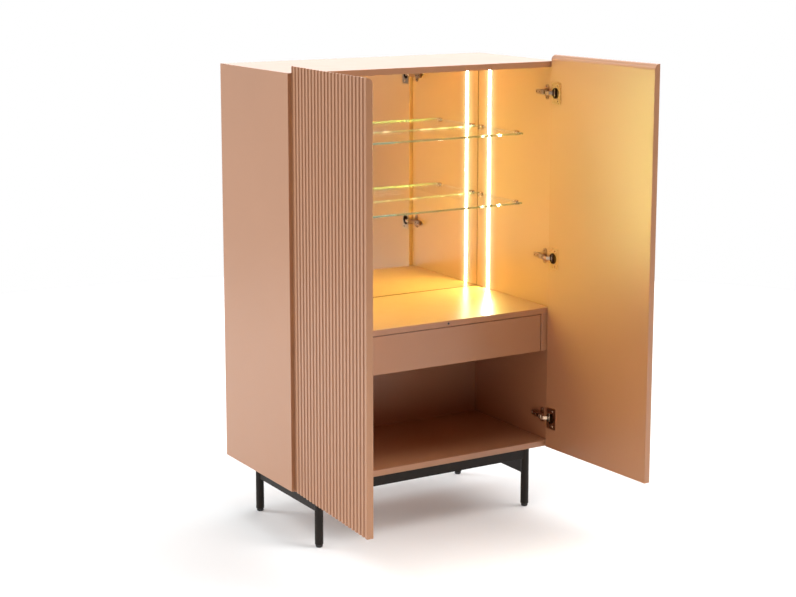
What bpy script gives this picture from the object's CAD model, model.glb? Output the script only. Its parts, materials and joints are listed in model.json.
"""The looks of a bar sideboard with two fluted doors, built round its construction model.

Laid out as a Blender add-on and run as a script. Lengths are in metres, +Z is up and the front faces -Y.
A door is made shut and lying across X, with its cup pins' axis at x = 0, y = 0, and is then swung open.
"""

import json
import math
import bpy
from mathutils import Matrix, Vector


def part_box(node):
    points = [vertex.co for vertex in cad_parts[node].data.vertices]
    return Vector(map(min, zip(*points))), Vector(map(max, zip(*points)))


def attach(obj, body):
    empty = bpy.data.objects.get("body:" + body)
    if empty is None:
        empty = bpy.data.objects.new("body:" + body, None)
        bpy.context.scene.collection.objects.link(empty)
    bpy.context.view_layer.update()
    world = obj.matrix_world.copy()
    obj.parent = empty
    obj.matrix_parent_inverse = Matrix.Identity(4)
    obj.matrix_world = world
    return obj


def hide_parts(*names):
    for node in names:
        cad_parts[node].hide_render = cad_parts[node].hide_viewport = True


bl_info = {
    "name": "Bar sideboard",
    "version": (1, 0, 0),
    "blender": (4, 5, 0),
    "location": "View3D > Sidebar > Sideboard",
    "description": "Fluted doors, lit bar space, hinges, drawer and base of a bar sideboard",
    "category": "Object",
}

import bmesh
import bpy
from mathutils import Matrix, Vector

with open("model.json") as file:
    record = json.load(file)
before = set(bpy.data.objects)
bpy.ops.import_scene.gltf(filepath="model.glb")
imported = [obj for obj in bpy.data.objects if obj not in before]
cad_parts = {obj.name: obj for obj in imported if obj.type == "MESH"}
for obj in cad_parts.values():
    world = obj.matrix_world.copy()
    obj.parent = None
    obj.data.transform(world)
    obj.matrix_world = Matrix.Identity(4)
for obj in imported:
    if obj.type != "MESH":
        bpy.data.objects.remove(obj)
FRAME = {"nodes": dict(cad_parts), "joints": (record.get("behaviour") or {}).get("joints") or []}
NODES = FRAME["nodes"]
JOINTS = {joint["name"]: joint for joint in FRAME["joints"]}
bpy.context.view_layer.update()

LEFT, RIGHT = -1, 1
SIDES = {LEFT: "left", RIGHT: "right"}
ENDS = ("front", "back")
LEVELS = ("lower", "middle", "upper")
X, Y, Z = 0, 1, 2
SHARP_EDGE = math.radians(35)
STRAIGHT, WITH_ARRIS = 0.9, 0.5  # least part of a normal along Y in the faces that look that way
WHITE = (1.0, 1.0, 1.0)
SCREW_SEAT = 0.0004  # how far above a face a screw head's base is set


def length(name, text, value):
    """A size that the user can change, shown in the scene's length unit."""
    return bpy.props.FloatProperty(
        name=name, description=text, default=value, min=0.0, unit="LENGTH", precision=5
    )


def angle(name, text, degrees):
    turn = math.radians(degrees)
    return bpy.props.FloatProperty(name=name, description=text, default=turn, subtype="ANGLE")


def number(name, text, value, high=1.0):
    return bpy.props.FloatProperty(name=name, description=text, default=value, min=0.0, max=high)


def lamp_strength(name, where, value):
    return number(name, f"Strength of the light {where}", value, high=20.0)


def colour(name, text, value, high=1.0):
    return bpy.props.FloatVectorProperty(
        name=name, description=text, default=value, size=3, min=0.0, max=high, subtype="COLOR"
    )


class LacquerSettings(bpy.types.PropertyGroup):
    """The satin lacquer on the boards and doors."""

    tint: colour("Tint", "Lacquer colour", (0.470, 0.213, 0.104))
    hollows: number("Hollows", "How much darker the lacquer is in the doors' grooves", 0.45)
    roughness: number("Roughness", "How matt the lacquer is", 0.31)
    grain: number("Orange peel", "Strength of the sprayed surface's fine ripple", 0.035)
    gloss: number("Gloss", "How strongly the boards reflect", 0.7)
    side_gloss: number("Side gloss", "How strongly the two sides reflect", 0.85)
    door_gloss: number("Door gloss", "How strongly the doors reflect", 0.6)


class DoorSettings(bpy.types.PropertyGroup):
    """One fluted door."""

    width: length("Width", "Door width", 0.456)
    height: length("Height", "Door height", 1.2193)
    thickness: length("Thickness", "Door thickness", 0.020)
    corner: length("Corner round", "Radius of the upright corners", 0.002)
    top_round: length("Top round", "Radius of the inner top edge", 0.0175)
    flutes: bpy.props.IntProperty(name="Flutes", description="Number of grooves on a door", default=22, min=1)
    pitch: length("Flute pitch", "Distance from groove to groove", 0.0206)
    first: length("First flute", "From the hinge edge to the first groove's middle", 0.0075)
    flute_width: length("Flute width", "Width of a groove", 0.0094)
    flute_depth: length("Flute depth", "Depth of a groove", 0.0046)
    ease: length("Edge ease", "Width of the sanded edges", 0.0006)
    swing: angle("Standing open", "Angle at which the doors stand", 93.3)


class HingeSettings(bpy.types.PropertyGroup):
    """Concealed hinges and their screws."""

    first_height: length("Lowest hinge", "Height of the lowest hinge above the floor", 0.281)
    spacing: length("Spacing", "Distance from hinge to hinge", 0.505)
    pin_edge: length("Pin to edge", "From the door's hinge edge to the cup pin", 0.0131)
    pin_depth: length("Pin depth", "From the door's inner face to the cup pin", 0.004)
    cup_edge: length("Cup to edge", "From the door's hinge edge to the cup's middle", 0.024)
    cup_radius: length("Cup radius", "Outer radius of a cup", 0.0175)
    cup_depth: length("Cup depth", "Depth of a cup in the door", 0.012)
    screw_radius: length("Screw radius", "Radius of a screw head", 0.0033)
    screw_height: length("Screw height", "Height of a screw head", 0.0008)
    pressed: colour("Pressed plate", "Colour of the pressed, less polished arms", (0.42, 0.22, 0.13))
    flange: colour("Flange", "Colour of the cups' flanges", (0.52, 0.32, 0.20))
    nickel: colour("Nickel", "Colour of the nickel plate", (0.62, 0.43, 0.30))
    dark: colour("Dark nickel", "Colour of the cups' linings and the clamps' screws", (0.13, 0.070, 0.038))


class GlassSettings(bpy.types.PropertyGroup):
    """Glass shelves and mirror."""

    edge_ease: length("Arris", "Width of the polished arris on the glass edges", 0.0005)
    clear: colour("Clear glass", "Tint of the clear glass", (0.93, 0.985, 0.955))
    edge: colour("Edge", "Colour of the polished edges", (0.52, 0.72, 0.42))
    edge_glow: colour("Edge glow", "Strip light that leaves the glass at its back edges", (1.0, 0.78, 0.50))
    glow_strength: number("Edge glow strength", "Brightness of that light", 0.35)
    lit_body: number("Lit edge body", "How much of a lit edge is seen", 0.4)
    border: length("Mirror border", "Width of the ground edge seen round the mirror", 0.0017)
    ground: colour("Ground edge", "Colour of the mirror's ground edge", (0.085, 0.040, 0.014))
    silver: colour("Silvering", "Colour of the mirror's silvering", (0.975, 0.96, 0.90))


class LightSettings(bpy.types.PropertyGroup):
    """The lit strips in the sides."""

    glow: colour("Glow", "Colour of the light", (0.83, 1.0, 0.30))
    strength: number("Strength", "Brightness of the strips", 171.0, high=500.0)
    edge_strength: number("Edge strength", "Brightness of the strips along their sides", 1.2, high=500.0)
    spill: colour("Spill", "Colour of the light on the boards beside the strips", (0.75, 1.0, 0.72))
    spill_strength: number("Spill strength", "Brightness of that light", 0.34, high=5.0)
    spill_reach: length("Spill reach", "How far from a strip it reaches", 0.045)
    glare: colour("Glare", "Colour of the strips where they are seen or mirrored", (0.88, 0.85, 0.77))
    amber: colour("Amber", "Colour of the strips' sides where they are seen or mirrored", (1.0, 0.76, 0.38))


class BaseSettings(bpy.types.PropertyGroup):
    """The black base."""

    black: colour("Black", "Powder coat colour", (0.013, 0.008, 0.005))
    leg_radius: length("Leg radius", "Radius of a leg", 0.0125)
    bead: length("Weld bead", "Radius of the weld beads", 0.0016)
    ripple: length("Bead ripple", "Distance between the ripples of a bead", 0.0022)


class StageSettings(bpy.types.PropertyGroup):
    """Floor, light and camera."""

    left: lamp_strength("Left", "from the left", 0.84)
    low_left: lamp_strength("Low left", "from low on the left", 0.85)
    overhead: lamp_strength("Overhead", "from above", 1.60)
    right: lamp_strength("Right", "from the right", 2.08)
    left_back: lamp_strength("Left back", "from the left and behind", 0.22)
    low_back: lamp_strength("Low back", "from low behind", 0.56)
    right_back: lamp_strength("Right back", "from the right and behind", 0.72)
    over_top: lamp_strength("Over the top", "from behind, over the cabinet", 1.0)
    softness: angle("Softness", "How wide each light is, but for the one over the top", 50.0)
    narrow: angle("Narrow", "How wide the light over the top is", 17.5)
    cool: colour("Cool", "Colour of the light from the left", (0.95, 1.0, 1.02), 2.0)
    white_back: number("White back", "Brightness of the white behind the cabinet, in reflections", 0.9)
    dim_front: number("Dim front", "Brightness of the room in front of the cabinet, in reflections", 0.38)
    floor_white: number("Floor white", "How light the floor's colour is", 0.87)
    floor_radius: length("Floor radius", "Radius of the floor; past it the world's white is seen", 4.0)
    lift: number("Floor lift", "How much the floor's white is lifted for the camera", 0.11)
    lens: bpy.props.FloatProperty(name="Lens", description="Focal length", default=79.27, unit="CAMERA")
    shift_x: bpy.props.FloatProperty(name="Shift X", description="Lens shift to the right", default=0.0092)
    shift_y: bpy.props.FloatProperty(name="Shift Y", description="Lens shift upwards", default=-0.07)
    camera_place: bpy.props.FloatVectorProperty(
        name="Camera place",
        description="Where the camera stands",
        default=(-2.6971, -4.2722, 1.7697),
        unit="LENGTH",
    )
    camera_turn: bpy.props.FloatVectorProperty(
        name="Camera turn",
        description="The camera's rotation",
        default=(math.radians(79.930), 0.0, math.radians(-30.918)),
        subtype="EULER",
    )


def feed(tree, node, sockets):
    """Links a node's inputs to other nodes' outputs, or sets them to values."""
    for key, value in sockets.items():
        if isinstance(value, bpy.types.NodeSocket):
            tree.links.new(value, node.inputs[key])
        else:
            node.inputs[key].default_value = value


def add_node(tree, kind, sockets=None, **settings):
    """Adds a node with its settings, and feeds its inputs."""
    node = tree.nodes.new(kind)
    for key, value in settings.items():
        setattr(node, key, value)
    feed(tree, node, sockets or {})
    return node


def shaded(name):
    """A new material with its node tree and the piece's own coordinates."""
    made = bpy.data.materials.new(name)
    made.use_nodes = True
    return made, made.node_tree, add_node(made.node_tree, "ShaderNodeTexCoord").outputs["Object"]


def dress(made, sockets):
    """Feeds a material's surface shader, and gives the material back."""
    feed(made.node_tree, made.node_tree.nodes["Principled BSDF"], sockets)
    return made


def computed(tree, operation, *values):
    """What a math node makes of numbers and of other nodes' outputs."""
    return add_node(tree, "ShaderNodeMath", dict(enumerate(values)), operation=operation).outputs[0]


def ranged(tree, value, start, end, low=0.0, high=1.0, blend="LINEAR"):
    """Start where the value is low, end where it is high, and a blend of the two between."""
    sockets = {"Value": value, "From Min": low, "From Max": high, "To Min": start, "To Max": end}
    return add_node(tree, "ShaderNodeMapRange", sockets, interpolation_type=blend).outputs["Result"]


def mixed(tree, factor, first, second):
    """The first colour where the factor is 0 and the second where it is 1."""
    return add_node(tree, "ShaderNodeMix", {0: factor, 6: first, 7: second}, data_type="RGBA").outputs[2]


def scaled(tree, tone, amount):
    """A colour made darker or lighter by a varying amount."""
    return add_node(tree, "ShaderNodeVectorMath", {0: tone, 3: amount}, operation="SCALE").outputs["Vector"]


def noise(tree, place, scale, detail=2.0):
    sockets = {"Vector": place, "Scale": scale, "Detail": detail}
    return add_node(tree, "ShaderNodeTexNoise", sockets).outputs["Fac"]


def varied_colour(tree, place, base, amount, scale):
    """A colour that drifts a little, darker and lighter, over the surface."""
    ramp = add_node(tree, "ShaderNodeValToRGB", {"Fac": noise(tree, place, scale, detail=3.0)})
    low, high = ramp.color_ramp.elements
    low.position, high.position = 0.3, 0.7
    low.color = (*[channel * (1.0 - amount) for channel in base], 1.0)
    high.color = (*[min(channel * (1.0 + amount), 1.0) for channel in base], 1.0)
    return ramp.outputs["Color"]


def varied_number(tree, place, low, high, scale):
    return ranged(tree, noise(tree, place, scale), low, high)


def bumps(tree, height, strength, distance):
    sockets = {"Height": height, "Strength": strength, "Distance": distance}
    return add_node(tree, "ShaderNodeBump", sockets).outputs["Normal"]


def seen_by(tree, *kinds):
    """1 for rays of the given kinds, 0 for light that the surface throws on others."""
    path = add_node(tree, "ShaderNodeLightPath").outputs
    seen = path[f"Is {kinds[0]} Ray"]
    for kind in kinds[1:]:
        seen = computed(tree, "MAXIMUM", seen, path[f"Is {kind} Ray"])
    return seen


def from_strip(tree, place):
    """A point's coordinates, how far in Y it is from a light strip's middle, and half a strip's width."""
    low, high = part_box("right_light_diffuser")
    split = add_node(tree, "ShaderNodeSeparateXYZ", {"Vector": place}).outputs
    off = computed(tree, "ABSOLUTE", computed(tree, "SUBTRACT", split["Y"], (low.y + high.y) / 2))
    return split, off, (high.y - low.y) / 2


def lacquer(settings, name, gloss, hollows=0.0, strips=None):
    """Sprayed lacquer; it can darken in hollows, where spray reaches less, and be lit by the strips."""
    made, tree, place = shaded(name)
    tint = varied_colour(tree, place, settings.tint, amount=0.018, scale=3.0)
    if hollows:
        air = add_node(tree, "ShaderNodeAmbientOcclusion", {"Distance": 0.009}, only_local=True, samples=8)
        tint = scaled(tree, tint, ranged(tree, air.outputs["AO"], 1.0 - hollows, 1.0, low=0.3, high=0.95))
    matt, drift = settings.roughness, 0.03
    dress(
        made,
        {
            "Base Color": tint,
            "Roughness": varied_number(tree, place, matt - drift, matt + drift, scale=18.0),
            "Normal": bumps(tree, noise(tree, place, scale=420.0), settings.grain, distance=0.0004),
            "Specular IOR Level": gloss,
        },
    )
    if strips:
        light_beside_strips(made, place, strips)
    return made


def light_beside_strips(made, place, settings):
    """The sides' inner faces catch light that leaves the strips low along the board."""
    tree, fall, skin = made.node_tree, 2.5, 0.001
    split, off, half = from_strip(tree, place)
    bottom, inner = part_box("right_light_diffuser")[0].z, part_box("right_side")[0].x
    near = computed(tree, "POWER", ranged(tree, off, 1.0, 0.0, half, half + settings.spill_reach), fall)
    inside = computed(tree, "LESS_THAN", computed(tree, "ABSOLUTE", split["X"]), inner + skin)
    above = computed(tree, "GREATER_THAN", split["Z"], bottom)
    level = computed(tree, "MULTIPLY", computed(tree, "MULTIPLY", near, inside), above)
    dress(
        made,
        {"Emission Strength": settings.spill_strength, "Emission Color": scaled(tree, settings.spill, level)},
    )


def plated(name, base, smooth, rough, scale):
    """Plated metal whose gloss drifts slightly, as on a pressed and plated part."""
    made, tree, place = shaded(name)
    return dress(
        made,
        {
            "Metallic": 1.0,
            "Base Color": varied_colour(tree, place, base, amount=0.05, scale=scale),
            "Roughness": varied_number(tree, place, smooth, rough, scale * 1.7),
            "Normal": bumps(tree, noise(tree, place, scale * 9.0), strength=0.04, distance=0.0002),
        },
    )


def zinc():
    """Zinc plate with its faint spangle."""
    made, tree, place = shaded("zinc_plate")
    cells = add_node(tree, "ShaderNodeTexVoronoi", {"Vector": place, "Scale": 140.0})
    shade = ranged(tree, cells.outputs["Distance"], 0.50, 0.60)
    grey = add_node(tree, "ShaderNodeCombineColor", {"Red": shade, "Green": shade, "Blue": shade})
    return dress(
        made,
        {
            "Metallic": 1.0,
            "Base Color": grey.outputs["Color"],
            "Roughness": varied_number(tree, place, 0.28, 0.42, scale=60.0),
        },
    )


def aluminium():
    """Satin anodised aluminium, drawn along its length, and lit by the diffuser that it holds."""
    made, tree, place = shaded("drawn_aluminium")
    drawn = add_node(tree, "ShaderNodeMapping", {"Vector": place, "Scale": (900.0, 900.0, 12.0)})
    drawn = drawn.outputs["Vector"]
    return dress(
        made,
        {
            "Metallic": 1.0,
            "Base Color": varied_colour(tree, drawn, (0.70, 0.70, 0.69), amount=0.05, scale=1.0),
            "Roughness": varied_number(tree, drawn, 0.28, 0.44, scale=1.0),
            "Emission Color": (1.0, 0.82, 0.50, 1.0),
            "Emission Strength": 0.5,
        },
    )


def powder_coat(settings):
    """Fine-textured black powder coat."""
    made, tree, place = shaded("powder_coat")
    texture = noise(tree, place, scale=1400.0, detail=3.0)
    return dress(
        made,
        {
            "Base Color": varied_colour(tree, place, settings.black, amount=0.12, scale=60.0),
            "Roughness": varied_number(tree, place, 0.40, 0.52, scale=90.0),
            "Specular IOR Level": 0.25,
            "Normal": bumps(tree, texture, strength=0.25, distance=0.0003),
        },
    )


def plastic():
    """Moulded black plastic with a faint spark-eroded grain."""
    made, tree, place = shaded("moulded_plastic")
    texture = noise(tree, place, scale=2200.0, detail=1.0)
    return dress(
        made,
        {
            "Base Color": varied_colour(tree, place, (0.018, 0.017, 0.016), amount=0.10, scale=90.0),
            "Roughness": varied_number(tree, place, 0.33, 0.43, scale=200.0),
            "Normal": bumps(tree, texture, strength=0.12, distance=0.0002),
        },
    )


def let_through(tree, shade, body):
    """Glass that shadow rays pass, but for a light shade; body is how much of the glass is seen."""
    return ranged(tree, seen_by(tree, "Shadow"), body, shade)


def clear_glass(settings):
    """Clear float glass; its faces hardly show, and its shadow lets most of the light through."""
    made, tree, place = shaded("float_glass")
    return dress(
        made,
        {
            "Transmission Weight": 1.0,
            "IOR": 1.5,
            "Base Color": varied_colour(tree, place, settings.clear, amount=0.01, scale=4.0),
            "Roughness": varied_number(tree, place, 0.0, 0.012, scale=7.0),
            "Alpha": let_through(tree, shade=0.06, body=0.22),
        },
    )


def glass_edge(settings, name, glow=0.0, body=1.0):
    """The green that shows in the glass's polished edges, some of which pass on the strips' light."""
    made, tree, place = shaded(name)
    dress(
        made,
        {
            "Transmission Weight": 0.7,
            "IOR": 1.3,
            "Base Color": varied_colour(tree, place, settings.edge, amount=0.22, scale=14.0),
            "Roughness": varied_number(tree, place, 0.04, 0.16, scale=30.0),
            "Alpha": let_through(tree, shade=0.35, body=body),
        },
    )
    if glow:
        cloud = noise(tree, place, scale=16.0, detail=1.0)
        spots = ranged(tree, cloud, start=0.2, end=4.0, low=0.55, high=0.75)
        dress(made, {"Emission Strength": glow, "Emission Color": scaled(tree, settings.edge_glow, spots)})
    return made


def ground_edge(settings):
    """The mirror glass's ground edge, seen through its own thickness."""
    made, tree, place = shaded("mirror_border")
    return dress(
        made,
        {
            "Base Color": varied_colour(tree, place, settings.ground, amount=0.2, scale=40.0),
            "Roughness": varied_number(tree, place, 0.25, 0.4, scale=60.0),
        },
    )


def silvering(settings):
    made, tree, place = shaded("silvering")
    return dress(
        made,
        {
            "Metallic": 1.0,
            "Base Color": varied_colour(tree, place, settings.silver, amount=0.008, scale=5.0),
            "Roughness": varied_number(tree, place, 0.0, 0.012, scale=6.0),
        },
    )


def lit_diffuser(settings):
    """Opal plastic over a row of diodes: brightest along its middle, amber along its sides."""
    made, tree, place = shaded("opal_diffuser")
    _, off, half = from_strip(tree, place)
    seen = seen_by(tree, "Camera", "Glossy")
    # The core's edge runs from core to core_end: near the strip's side in the light that it throws, and
    # near its middle where it is seen.
    core = ranged(tree, seen, 0.90 * half, 0.20 * half)
    core_end = ranged(tree, seen, half, 0.52 * half)
    level = ranged(tree, off, 1.0, settings.edge_strength / settings.strength, core, core_end, "SMOOTHERSTEP")
    amber = ranged(tree, off, 0.0, 1.0, 0.5 * half, half)
    look = mixed(tree, amber, (*settings.glare, 1.0), (*settings.amber, 1.0))
    tone = mixed(tree, seen, (*settings.glow, 1.0), look)
    return dress(
        made,
        {
            "Base Color": varied_colour(tree, place, (0.9, 0.8, 0.6), amount=0.02, scale=30.0),
            "Roughness": 0.5,
            "Emission Strength": settings.strength,
            "Emission Color": scaled(tree, tone, level),
        },
    )


def finish_node(name, material):
    """Gives a construction node its finish."""
    slots = NODES[name].data.materials
    slots.clear()
    slots.append(material)


def add_object(name, data):
    made = bpy.data.objects.new(name, data)
    bpy.context.scene.collection.objects.link(made)
    return made


def new_piece(name, mesh, slot, *finishes):
    made = add_object(name, mesh)
    for finish in finishes:
        mesh.materials.append(finish)
    return made


def mesh_from(name, bm):
    bmesh.ops.recalc_face_normals(bm, faces=bm.faces)
    mesh = bpy.data.meshes.new(name)
    bm.to_mesh(mesh)
    bm.free()
    mesh.shade_smooth()
    mesh.set_sharp_from_angle(angle=SHARP_EDGE)
    return mesh


def add_prism(bm, outline, low, high, axis):
    """Extrudes an outline along an axis; its points hold the other two coordinates, in X, Y, Z order."""
    others = [index for index in range(3) if index != axis]
    corners = []
    for point in outline:
        place = [0.0, 0.0, 0.0]
        place[others[0]], place[others[1]], place[axis] = point[0], point[1], low
        corners.append(bm.verts.new(place))
    raised = bmesh.ops.extrude_face_region(bm, geom=[bm.faces.new(corners)])["geom"]
    travel = Vector((0.0, 0.0, 0.0))
    travel[axis] = high - low
    bmesh.ops.translate(bm, verts=[v for v in raised if isinstance(v, bmesh.types.BMVert)], vec=travel)


def arc(centre, radius, start, end, steps):
    """Points on a circle; the angles are in degrees."""
    angles = [math.radians(start + (end - start) * step / steps) for step in range(steps + 1)]
    return [(centre[0] + radius * math.cos(a), centre[1] + radius * math.sin(a)) for a in angles]


def circle(centre, radius, steps):
    return arc(centre, radius, 0.0, 360.0 - 360.0 / steps, steps - 1)


def box_mesh(name, low, high):
    bm = bmesh.new()
    corners = [(low[0], low[1]), (high[0], low[1]), (high[0], high[1]), (low[0], high[1])]
    add_prism(bm, corners, low[2], high[2], Z)
    return mesh_from(name, bm)


def cut(obj, tool):
    change = obj.modifiers.new(tool.name, "BOOLEAN")
    change.operation = "DIFFERENCE"
    change.solver = "EXACT"
    change.object = tool


def ease(obj, width, segments=2):
    bevel = obj.modifiers.new("eased edges", "BEVEL")
    bevel.width = width
    bevel.segments = segments
    bevel.limit_method = "ANGLE"
    bevel.angle_limit = math.radians(50)
    level = obj.modifiers.new("flat faces", "WEIGHTED_NORMAL")
    level.keep_sharp = True


def settle(obj, matrix=None, tools=()):
    """Turns what the modifiers make into a plain mesh, and puts the piece's place in it."""
    bpy.context.view_layer.update()
    depsgraph = bpy.context.evaluated_depsgraph_get()
    mesh = bpy.data.meshes.new_from_object(obj.evaluated_get(depsgraph), depsgraph=depsgraph)
    obj.modifiers.clear()
    obj.data = mesh
    mesh.name = obj.name
    if matrix is not None:
        mesh.transform(matrix)
    for tool in tools:
        bpy.data.objects.remove(tool, do_unlink=True)


def geometry_tree(name, inputs):
    """A geometry tree with named inputs, the last of them its finish, and one geometry output."""
    tree = bpy.data.node_groups.new(name, "GeometryNodeTree")
    for label, kind in {"Geometry": "Geometry", **inputs, "Finish": "Material"}.items():
        tree.interface.new_socket(label, in_out="INPUT", socket_type=f"NodeSocket{kind}")
    tree.interface.new_socket("Geometry", in_out="OUTPUT", socket_type="NodeSocketGeometry")
    return tree, tree.nodes.new("NodeGroupInput").outputs


def end_tree(tree, given, geometry):
    """Ends a tree as every tree here ends: real geometry with its finish."""
    real = add_node(tree, "GeometryNodeRealizeInstances", {"Geometry": geometry}).outputs["Geometry"]
    done = add_node(tree, "GeometryNodeSetMaterial", {"Geometry": real, "Material": given["Finish"]})
    add_node(tree, "NodeGroupOutput", {0: done.outputs["Geometry"]})
    return tree


def cut_out(tree, mesh, waste):
    """A mesh in a geometry tree with the waste cut out of it."""
    sockets = {"Mesh 1": mesh, "Mesh 2": waste}
    kind = "GeometryNodeMeshBoolean"
    return add_node(tree, kind, sockets, operation="DIFFERENCE", solver="EXACT").outputs["Mesh"]


def grow(obj, tree, values):
    """Adds a tree to an object and sets its named inputs."""
    modifier = obj.modifiers.new(tree.name, "NODES")
    modifier.node_group = tree
    for item in tree.interface.items_tree:
        if item.in_out == "INPUT" and item.name in values:
            value = values[item.name]
            modifier[item.identifier] = tuple(value) if isinstance(value, Vector) else value


def flute_tree():
    """Cuts evenly spaced grooves out of a slab that stands upright."""
    inputs = {"Flutes": "Int", "First Groove": "Vector", "Step": "Vector", "Groove Size": "Vector"}
    tree, given = geometry_tree("flutes", inputs)
    row = add_node(
        tree,
        "GeometryNodeMeshLine",
        {"Count": given["Flutes"], "Start Location": given["First Groove"], "Offset": given["Step"]},
        mode="OFFSET",
    )
    rod = add_node(tree, "GeometryNodeMeshCylinder", {"Vertices": 28, "Radius": 0.5, "Depth": 1.0})
    shaped = add_node(
        tree, "GeometryNodeTransform", {"Geometry": rod.outputs["Mesh"], "Scale": given["Groove Size"]}
    )
    grooves = add_node(
        tree,
        "GeometryNodeInstanceOnPoints",
        {"Points": row.outputs["Mesh"], "Instance": shaped.outputs["Geometry"]},
    )
    solid = add_node(tree, "GeometryNodeRealizeInstances", {"Geometry": grooves.outputs["Instances"]})
    return end_tree(tree, given, cut_out(tree, given["Geometry"], solid.outputs["Geometry"]))


def screw_tree():
    """Sets a cross-headed screw on each point, standing along the point's facing."""
    tree, given = geometry_tree("screws", {"Radius": "Float", "Height": "Float"})
    radius, height = given["Radius"], given["Height"]
    # As parts of the radius: the head's flat top, and the length and width of the recess's two bars.
    top, arm, slot = [computed(tree, "MULTIPLY", radius, part) for part in (0.78, 1.05, 0.22)]
    head = {"Vertices": 20, "Radius Top": top, "Radius Bottom": radius, "Depth": height}
    heads = add_node(tree, "GeometryNodeMeshCone", head).outputs["Mesh"]
    lifted = 0.95  # a bar's middle, as a part of the head's height, so it cuts just over half of the head
    up = add_node(tree, "ShaderNodeCombineXYZ", {"Z": computed(tree, "MULTIPLY", height, lifted)})
    for x, y in ((arm, slot), (slot, arm)):
        size = add_node(tree, "ShaderNodeCombineXYZ", {"X": x, "Y": y, "Z": height})
        bar = add_node(tree, "GeometryNodeMeshCube", {"Size": size.outputs["Vector"]})
        raised = add_node(
            tree,
            "GeometryNodeTransform",
            {"Geometry": bar.outputs["Mesh"], "Translation": up.outputs["Vector"]},
        )
        heads = cut_out(tree, heads, raised.outputs["Geometry"])
    facing = add_node(tree, "GeometryNodeInputNamedAttribute", {"Name": "facing"}, data_type="FLOAT_VECTOR")
    turn = add_node(
        tree, "FunctionNodeAlignRotationToVector", {"Vector": facing.outputs["Attribute"]}, axis="Z"
    )
    set_down = add_node(
        tree,
        "GeometryNodeInstanceOnPoints",
        {"Points": given["Geometry"], "Instance": heads, "Rotation": turn.outputs["Rotation"]},
    )
    return end_tree(tree, given, set_down.outputs["Instances"])


def bead_tree():
    """Lays a rippled bead of weld along each line of a mesh."""
    tree, given = geometry_tree("weld_beads", {"Radius": "Float", "Ripple": "Float"})
    lines = add_node(tree, "GeometryNodeMeshToCurve", {"Mesh": given["Geometry"]})
    half = computed(tree, "MULTIPLY", given["Ripple"], 0.5)
    steps = add_node(
        tree, "GeometryNodeResampleCurve", {"Curve": lines.outputs["Curve"], "Length": half}, mode="LENGTH"
    )
    odd = computed(tree, "MODULO", add_node(tree, "GeometryNodeInputIndex").outputs["Index"], 2.0)
    profile = add_node(tree, "GeometryNodeCurvePrimitiveCircle", {"Resolution": 8, "Radius": given["Radius"]})
    bead = add_node(
        tree,
        "GeometryNodeCurveToMesh",
        {
            "Curve": steps.outputs["Curve"],
            "Profile Curve": profile.outputs["Curve"],
            "Scale": ranged(tree, odd, start=0.82, end=1.0),
            "Fill Caps": True,
        },
    )
    return end_tree(tree, given, bead.outputs["Mesh"])


def screws(name, places, body, radius, height, material, matrix=None):
    """One piece of screw heads, from (place, facing) pairs."""
    mesh = bpy.data.meshes.new(name)
    mesh.from_pydata([place for place, _ in places], [], [])
    facing = mesh.attributes.new("facing", "FLOAT_VECTOR", "POINT")
    for index, (_, way) in enumerate(places):
        facing.data[index].vector = way
    made = new_piece(name, mesh, "nickelled_steel", material)
    tree = bpy.data.node_groups.get("screws") or screw_tree()
    grow(made, tree, {"Radius": radius, "Height": height, "Finish": material})
    settle(made, matrix)
    made.data.shade_smooth()
    made.data.set_sharp_from_angle(angle=SHARP_EDGE)
    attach(made, body)


def door_place(side, door):
    """Where a door that is made shut at the origin stands."""
    pivot = JOINTS[f"{SIDES[side]}_door_turn"]["pos_m"]
    return Matrix.Translation((pivot[0], pivot[1], 0.0)) @ Matrix.Rotation(side * door.swing, 4, "Z")


class SIDEBOARD_OT_boards(bpy.types.Operator):
    """Lacquer the carcass, the worktop, the drawer and the strips beside it"""

    bl_idname = "sideboard.boards"
    bl_label = "Lacquer the Boards"

    def execute(self, context):
        finish, strips = context.scene.sideboard_lacquer, context.scene.sideboard_light
        lit_paint = lacquer(finish, "side_lacquer", finish.side_gloss, strips=strips)
        for side in ("left_side", "right_side"):
            finish_node(side, lit_paint)
        paint = lacquer(finish, "sprayed_lacquer", finish.gloss)
        for name in ("top_panel", "bottom_panel", "back_panel", "worktop", "drawer_front", "drawer_box"):
            finish_node(name, paint)
        for side in SIDES.values():
            finish_node(f"{side}_drawer_filler", paint)
        return {"FINISHED"}


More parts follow.
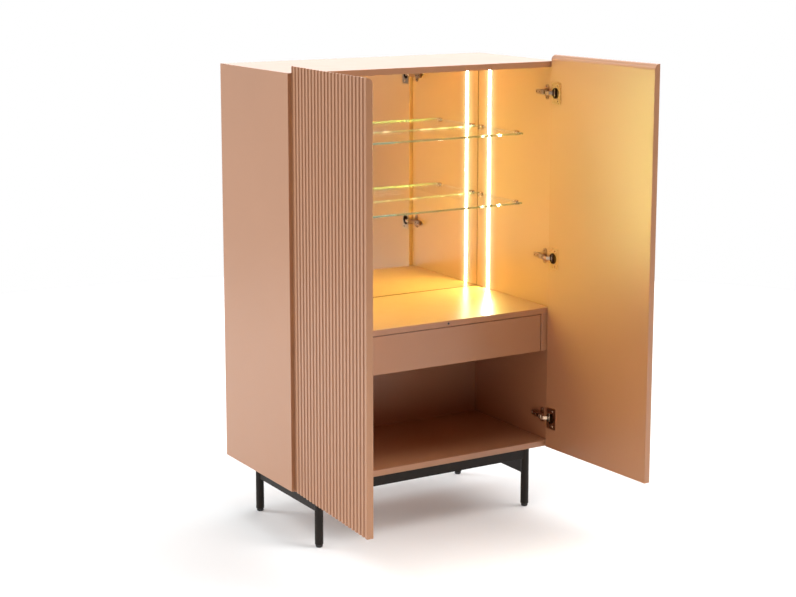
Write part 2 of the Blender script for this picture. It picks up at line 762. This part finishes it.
class SIDEBOARD_OT_doors(bpy.types.Operator):
    """Make both fluted doors"""

    bl_idname = "sideboard.doors"
    bl_label = "Make the Fluted Doors"

    def execute(self, context):
        door, hinge = context.scene.sideboard_door, context.scene.sideboard_hinge
        finish = context.scene.sideboard_lacquer
        paint = lacquer(finish, "fluted_lacquer", finish.door_gloss, finish.hollows)
        tree = flute_tree()
        for side in (LEFT, RIGHT):
            self.make(side, door, hinge, paint, tree)
        return {"FINISHED"}

    def make(self, side, door, hinge, paint, tree):
        """A slab with round corners and a round inner top edge, less the cups' bores and the flutes."""
        name = f"{SIDES[side]}_door"
        floor_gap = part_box(name)[0].z
        over, play = 0.002, 0.0003  # how far the cutters stand out, and a bore's play round its cup

        def across(distance):
            return -side * (distance - hinge.pin_edge)

        def forward(depth):
            return hinge.pin_depth - depth

        r, width, tall, deep = door.corner, door.width, door.height, door.thickness
        corner_steps, top_steps, bore_steps = 5, 12, 40
        outline = []
        for x, y, start in ((r, r, 270), (r, deep - r, 180), (width - r, deep - r, 90), (width - r, r, 0)):
            outline += arc((x, y), r, start, start - 90, corner_steps)
        bm = bmesh.new()
        add_prism(bm, [(across(a), forward(d)) for a, d in outline], 0.0, tall, Z)
        made = new_piece(f"{name}_fluted", mesh_from(name, bm), "clay_lacquer", paint)

        top = door.top_round
        waste = arc((top, tall - top), top, 180, 90, top_steps)
        waste += [(top, tall + over), (-over, tall + over), (-over, tall - top)]
        bm = bmesh.new()
        ends = sorted((across(-over), across(width + over)))
        add_prism(bm, [(forward(d), z) for d, z in waste], ends[0], ends[1], X)
        tools = [add_object("top round", mesh_from("top round", bm))]
        bm = bmesh.new()
        for index in range(len(LEVELS)):
            height = hinge.first_height + index * hinge.spacing - floor_gap
            ring = circle((across(hinge.cup_edge), height), hinge.cup_radius + play, bore_steps)
            add_prism(bm, ring, forward(hinge.cup_depth + play), forward(-over), Y)
        tools.append(add_object("cup bores", mesh_from("cup bores", bm)))
        for tool in tools:
            cut(made, tool)
        grow(
            made,
            tree,
            {
                "Flutes": door.flutes,
                "First Groove": Vector((across(door.first), forward(deep), tall / 2)),
                "Step": Vector((-side * door.pitch, 0.0, 0.0)),
                "Groove Size": Vector((door.flute_width, door.flute_depth * 2, tall + over)),
                "Finish": paint,
            },
        )
        ease(made, door.ease)
        settle(made, door_place(side, door) @ Matrix.Translation((0.0, 0.0, floor_gap)), tools)
        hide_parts(name)
        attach(made, name)


class SIDEBOARD_OT_glass(bpy.types.Operator):
    """Make the glass shelves and the mirror, and finish the shelf clamps"""

    bl_idname = "sideboard.glass"
    bl_label = "Make the Glass"

    def execute(self, context):
        glass, hinge = context.scene.sideboard_glass, context.scene.sideboard_hinge
        finishes = (
            clear_glass(glass),
            glass_edge(glass, "glass_edge"),
            glass_edge(glass, "lit_glass_edge", glass.glow_strength, glass.lit_body),
        )
        for level in ("lower", "upper"):
            self.shelf(f"{level}_glass_shelf", glass, finishes)
        self.mirror(glass)
        nickel = plated("nickel_plate", hinge.nickel, smooth=0.18, rough=0.28, scale=120.0)
        dark = plated("dark_nickel", hinge.dark, smooth=0.30, rough=0.45, scale=90.0)
        reach, radius, tall = 0.006, 0.0022, 0.0010
        grips = []
        for level in ("lower", "upper"):
            for end in ENDS:
                for side, word in SIDES.items():
                    node = f"{level}_{end}_clamp_{word}"
                    finish_node(node, nickel)
                    low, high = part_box(node)
                    inner = low.x if side == RIGHT else high.x
                    seat = (inner + side * reach, (low.y + high.y) / 2, low.z - SCREW_SEAT)
                    grips.append((seat, (0.0, 0.0, -1.0)))
        screws("clamp_screws", grips, "cabinet", radius, tall, dark)
        return {"FINISHED"}

    def shelf(self, node, glass, finishes):
        """A glass plate; its front edge shows green, and its back edge is lit."""
        low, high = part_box(node)
        made = new_piece(f"{node}_polished", box_mesh(node, low, high), "clear_glass", *finishes)
        ease(made, glass.edge_ease, 1)
        settle(made)
        for face in made.data.polygons:
            back = face.normal.y
            face.material_index = 1 if back < -WITH_ARRIS else 2 if back > STRAIGHT else 0
        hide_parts(node)
        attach(made, "cabinet")

    def mirror(self, glass):
        """The mirror, with a dark line where its ground edge shows all round."""
        low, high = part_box("mirror")
        mesh = box_mesh("mirror", low, high)
        bm = bmesh.new()
        bm.from_mesh(mesh)
        front = [face for face in bm.faces if face.normal.y < -STRAIGHT]
        rim = bmesh.ops.inset_region(bm, faces=front, thickness=glass.border)["faces"]
        for face in bm.faces:
            face.material_index = 1 if face in rim or face.normal.y > -STRAIGHT else 0
        bm.to_mesh(mesh)
        bm.free()
        made = new_piece("mirror_silvered", mesh, "silvered_glass", silvering(glass), ground_edge(glass))
        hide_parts("mirror")
        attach(made, "cabinet")


class SIDEBOARD_OT_lights(bpy.types.Operator):
    """Finish the light strips and the motion sensor"""

    bl_idname = "sideboard.lights"
    bl_label = "Finish the Light Strips"

    def execute(self, context):
        channel, glow = aluminium(), lit_diffuser(context.scene.sideboard_light)
        for side in SIDES.values():
            finish_node(f"{side}_light_channel", channel)
            finish_node(f"{side}_light_diffuser", glow)
        finish_node("sensor", plastic())
        return {"FINISHED"}


class SIDEBOARD_OT_hinges(bpy.types.Operator):
    """Finish the concealed hinges, line their cups and set their screws"""

    bl_idname = "sideboard.hinges"
    bl_label = "Finish the Hinges"

    def execute(self, context):
        door, hinge = context.scene.sideboard_door, context.scene.sideboard_hinge
        nickel, dark = bpy.data.materials["nickel_plate"], bpy.data.materials["dark_nickel"]
        pressed = plated("pressed_nickel", hinge.pressed, smooth=0.30, rough=0.40, scale=120.0)
        flange = plated("flange_nickel", hinge.flange, smooth=0.24, rough=0.34, scale=120.0)
        radius, tall = hinge.screw_radius, hinge.screw_height
        # Where the screws are set over the mounting plates, the arms and the cups' flanges.
        plate_back, plate_rise, plate_face = 0.026, 0.0165, 0.0029
        arm_backs, arm_face, arm_size = (0.044, 0.059), 0.0160, 0.85
        flange_edge, flange_rise, flange_face = 0.0335, 0.024, 0.00135
        plate_screws, arm_screws = [], []
        for side, word in SIDES.items():
            bm, cup_screws = bmesh.new(), []
            inboard, across = (-side, 0.0, 0.0), -side * (flange_edge - hinge.pin_edge)
            for index, level in enumerate(LEVELS):
                for part, finish in (("arm", pressed), ("link", nickel), ("cup", flange)):
                    finish_node(f"{word}_{level}_hinge_{part}", finish)
                height = hinge.first_height + index * hinge.spacing
                low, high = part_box(f"{word}_{level}_hinge_arm")
                wall = high.x if side == RIGHT else low.x
                for up in (-1, 1):
                    seat = (wall - side * plate_face, low.y + plate_back, height + up * plate_rise)
                    plate_screws.append((seat, inboard))
                    seat = (across, hinge.pin_depth + flange_face, height + up * flange_rise)
                    cup_screws.append((seat, (0.0, 1.0, 0.0)))
                for back in arm_backs:
                    arm_screws.append(((wall - side * arm_face, low.y + back, height), inboard))
                self.lining(bm, side, hinge, height)
            place, body = door_place(side, door), f"{word}_door"
            screws(f"{word}_cup_screws", cup_screws, body, radius, tall, nickel, place)
            mesh = mesh_from(f"{word} linings", bm)
            lining = new_piece(f"{word}_cup_linings", mesh, "nickelled_steel", dark)
            settle(lining, place)
            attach(lining, body)
        screws("plate_screws", plate_screws, "cabinet", radius, tall, nickel)
        screws("arm_screws", arm_screws, "cabinet", radius * arm_size, tall, nickel)
        return {"FINISHED"}

    def lining(self, bm, side, hinge, height):
        """A thin dark cup inside the hinge cup, open towards the cabinet."""
        steps, skin, play, over_floor, over_face = 32, 0.0003, 0.0009, 0.0011, 0.0010
        outer = hinge.cup_radius - play
        inner = outer - skin
        middle = -side * (hinge.cup_edge - hinge.pin_edge)
        floor = hinge.pin_depth - hinge.cup_depth + over_floor
        rim = hinge.pin_depth + over_face
        rows = [(0.0, floor), (outer, floor), (outer, rim)]
        rows += [(inner, rim), (inner, floor + skin), (0.0, floor + skin)]
        rings = []
        for radius, deep in rows:
            points = circle((middle, height), radius, steps) if radius else [(middle, height)]
            rings.append([bm.verts.new((x, deep, z)) for x, z in points])
        for lower, upper in zip(rings, rings[1:]):
            for step in range(steps):
                after = (step + 1) % steps
                corners = [lower[step % len(lower)], lower[after % len(lower)]]
                corners += [upper[after % len(upper)], upper[step % len(upper)]]
                bm.faces.new(list(dict.fromkeys(corners)))


class SIDEBOARD_OT_drawer(bpy.types.Operator):
    """Finish the drawer's runners and set the screws that hold its front"""

    bl_idname = "sideboard.drawer"
    bl_label = "Finish the Drawer"

    def execute(self, context):
        runner = zinc()
        for side in SIDES.values():
            for part in ("fixed", "middle", "drawer"):
                finish_node(f"{side}_runner_{part}_member", runner)
        low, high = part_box("drawer_box")
        # The box's front board, how far above its middle the screws are, and where they are along it.
        board, rise, across = 0.012, 0.006, (-0.30, -0.10, 0.10, 0.30)
        radius, tall = 0.0042, 0.0010
        wall, height = low.y + board + SCREW_SEAT, (low.z + high.z) / 2 + rise
        places = [((x, wall, height), (0.0, 1.0, 0.0)) for x in across]
        screws("drawer_front_screws", places, "drawer", radius, tall, bpy.data.materials["nickel_plate"])
        return {"FINISHED"}


class SIDEBOARD_OT_base(bpy.types.Operator):
    """Finish the steel base and its glides"""

    bl_idname = "sideboard.base"
    bl_label = "Finish the Base"

    def execute(self, context):
        black = powder_coat(context.scene.sideboard_base)
        for name in ("left_leg_frame", "right_leg_frame", "front_cross_rail", "back_cross_rail"):
            finish_node(name, black)
        self.beads(context.scene.sideboard_base, black)
        for end in ENDS:
            for side in SIDES.values():
                finish_node(f"{end}_{side}_glide", bpy.data.materials["moulded_plastic"])
        return {"FINISHED"}

    def beads(self, base, black):
        """Upright welds on both sides of each side rail, where it meets the two legs."""
        below_top, tall, rail_half = 0.002, 0.076, 0.0051
        seat = base.leg_radius * 0.93  # a little inside the leg's surface
        verts, edges = [], []
        for side in SIDES.values():
            rail_low, rail_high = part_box(f"{side}_leg_frame")
            axis, top = (rail_low.x + rail_high.x) / 2, rail_high.z - below_top
            for end, way in zip(ENDS, (1, -1)):
                low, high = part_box(f"{end}_{side}_glide")
                y = (low.y + high.y) / 2 + way * seat
                for x in (axis - rail_half, axis + rail_half):
                    edges.append((len(verts), len(verts) + 1))
                    verts += [(x, y, top - tall), (x, y, top)]
        mesh = bpy.data.meshes.new("weld beads")
        mesh.from_pydata(verts, edges, [])
        made = new_piece("weld_beads", mesh, "black_powder_coat", black)
        grow(made, bead_tree(), {"Radius": base.bead, "Ripple": base.ripple, "Finish": black})
        settle(made)
        made.data.shade_smooth()
        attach(made, "cabinet")


class SIDEBOARD_OT_stage(bpy.types.Operator):
    """Set up the floor, the light and the camera"""

    bl_idname = "sideboard.stage"
    bl_label = "Set Up the Stage"

    def execute(self, context):
        stage = context.scene.sideboard_stage
        self.floor(stage)
        self.world(context.scene, stage)
        for name, strength, came_from in (
            ("left", stage.left, (-1.0, -0.35, 0.75)),
            ("low left", stage.low_left, (-1.0, 0.1, 0.15)),
            ("overhead", stage.overhead, (0.05, -0.1, 1.0)),
            ("right", stage.right, (1.0, -0.62, 0.9)),
            ("left back", stage.left_back, (-0.7, 0.8, 0.45)),
            ("low back", stage.low_back, (0.5, 0.85, 0.25)),
            ("right back", stage.right_back, (0.9, 0.5, 0.8)),
        ):
            self.lamp(name, strength, came_from, stage.softness, stage.cool if "left" in name else WHITE)
        self.lamp("left over the top", stage.over_top, (-0.8, 0.8, 1.0), stage.narrow, stage.cool)
        camera = add_object("camera", bpy.data.cameras.new("camera"))
        camera.location = stage.camera_place
        camera.rotation_euler = stage.camera_turn
        camera.data.lens = stage.lens
        camera.data.sensor_width = 36.0
        camera.data.shift_x = stage.shift_x
        camera.data.shift_y = stage.shift_y
        context.scene.camera = camera
        context.scene.view_settings.view_transform = "Standard"
        return {"FINISHED"}

    def lamp(self, name, strength, came_from, spread, tone):
        data = bpy.data.lights.new(name, "SUN")
        data.energy = strength
        data.color = tone
        data.angle = spread
        add_object(name, data).rotation_euler = Vector(came_from).to_track_quat("Z", "Y").to_euler()

    def floor(self, stage):
        """A white disc just under the glides, lifted a little where it is seen."""
        gap = 0.0004
        bm = bmesh.new()
        bmesh.ops.create_circle(bm, cap_ends=True, segments=96, radius=stage.floor_radius)
        mesh = bpy.data.meshes.new("floor")
        bm.to_mesh(mesh)
        bm.free()
        made = add_object("floor", mesh)
        made.location.z = -gap
        white = bpy.data.materials.new("white_floor")
        white.use_nodes = True
        tree = white.node_tree
        tree.nodes.clear()
        seen = seen_by(tree, "Camera", "Glossy", "Transmission")
        diffuse = add_node(tree, "ShaderNodeBsdfDiffuse", {"Color": (*[stage.floor_white] * 3, 1.0)})
        lift = computed(tree, "MULTIPLY", seen, stage.lift)
        glow = add_node(tree, "ShaderNodeEmission", {"Strength": lift})
        both = add_node(tree, "ShaderNodeAddShader", {0: diffuse.outputs[0], 1: glow.outputs[0]})
        add_node(tree, "ShaderNodeOutputMaterial", {"Surface": both.outputs[0]})
        mesh.materials.append(white)

    def world(self, scene, stage):
        """White where it is seen; in reflections it is white behind the cabinet and dim in front of it."""
        world = bpy.data.worlds.new("studio")
        scene.world = world
        world.use_nodes = True
        tree = world.node_tree
        tree.nodes.clear()
        way = add_node(tree, "ShaderNodeTexCoord").outputs["Generated"]
        way = add_node(tree, "ShaderNodeSeparateXYZ", {"Vector": way}).outputs["Y"]
        room = ranged(tree, way, stage.dim_front, stage.white_back, low=-0.4, high=0.6, blend="SMOOTHSTEP")
        glossy = computed(tree, "MULTIPLY", seen_by(tree, "Glossy"), room)
        level = computed(tree, "MAXIMUM", seen_by(tree, "Camera", "Transmission"), glossy)
        light = add_node(tree, "ShaderNodeBackground", {"Color": (*WHITE, 1.0), "Strength": level})
        add_node(tree, "ShaderNodeOutputWorld", {"Surface": light.outputs[0]})


OPERATORS = (
    SIDEBOARD_OT_boards,
    SIDEBOARD_OT_doors,
    SIDEBOARD_OT_glass,
    SIDEBOARD_OT_lights,
    SIDEBOARD_OT_hinges,
    SIDEBOARD_OT_drawer,
    SIDEBOARD_OT_base,
    SIDEBOARD_OT_stage,
)


class SIDEBOARD_PT_panel(bpy.types.Panel):
    """Lists the steps that dress the sideboard, in the order that they run in"""

    bl_label = "Sideboard"
    bl_idname = "SIDEBOARD_PT_panel"
    bl_space_type = "VIEW_3D"
    bl_region_type = "UI"
    bl_category = "Sideboard"

    def draw(self, context):
        for operator in OPERATORS:
            self.layout.operator(operator.bl_idname)


SETTINGS = {
    "sideboard_lacquer": LacquerSettings,
    "sideboard_door": DoorSettings,
    "sideboard_hinge": HingeSettings,
    "sideboard_glass": GlassSettings,
    "sideboard_light": LightSettings,
    "sideboard_base": BaseSettings,
    "sideboard_stage": StageSettings,
}


def register():
    for made in (*SETTINGS.values(), *OPERATORS, SIDEBOARD_PT_panel):
        bpy.utils.register_class(made)
    for name, made in SETTINGS.items():
        setattr(bpy.types.Scene, name, bpy.props.PointerProperty(type=made))


def unregister():
    for name in SETTINGS:
        delattr(bpy.types.Scene, name)
    for made in (SIDEBOARD_PT_panel, *reversed(OPERATORS), *reversed(SETTINGS.values())):
        bpy.utils.unregister_class(made)


def main():
    register()
    bpy.ops.sideboard.boards()
    bpy.ops.sideboard.doors()
    bpy.ops.sideboard.glass()
    bpy.ops.sideboard.lights()
    bpy.ops.sideboard.hinges()
    bpy.ops.sideboard.drawer()
    bpy.ops.sideboard.base()
    bpy.ops.sideboard.stage()


if __name__ == "__main__":
    main()
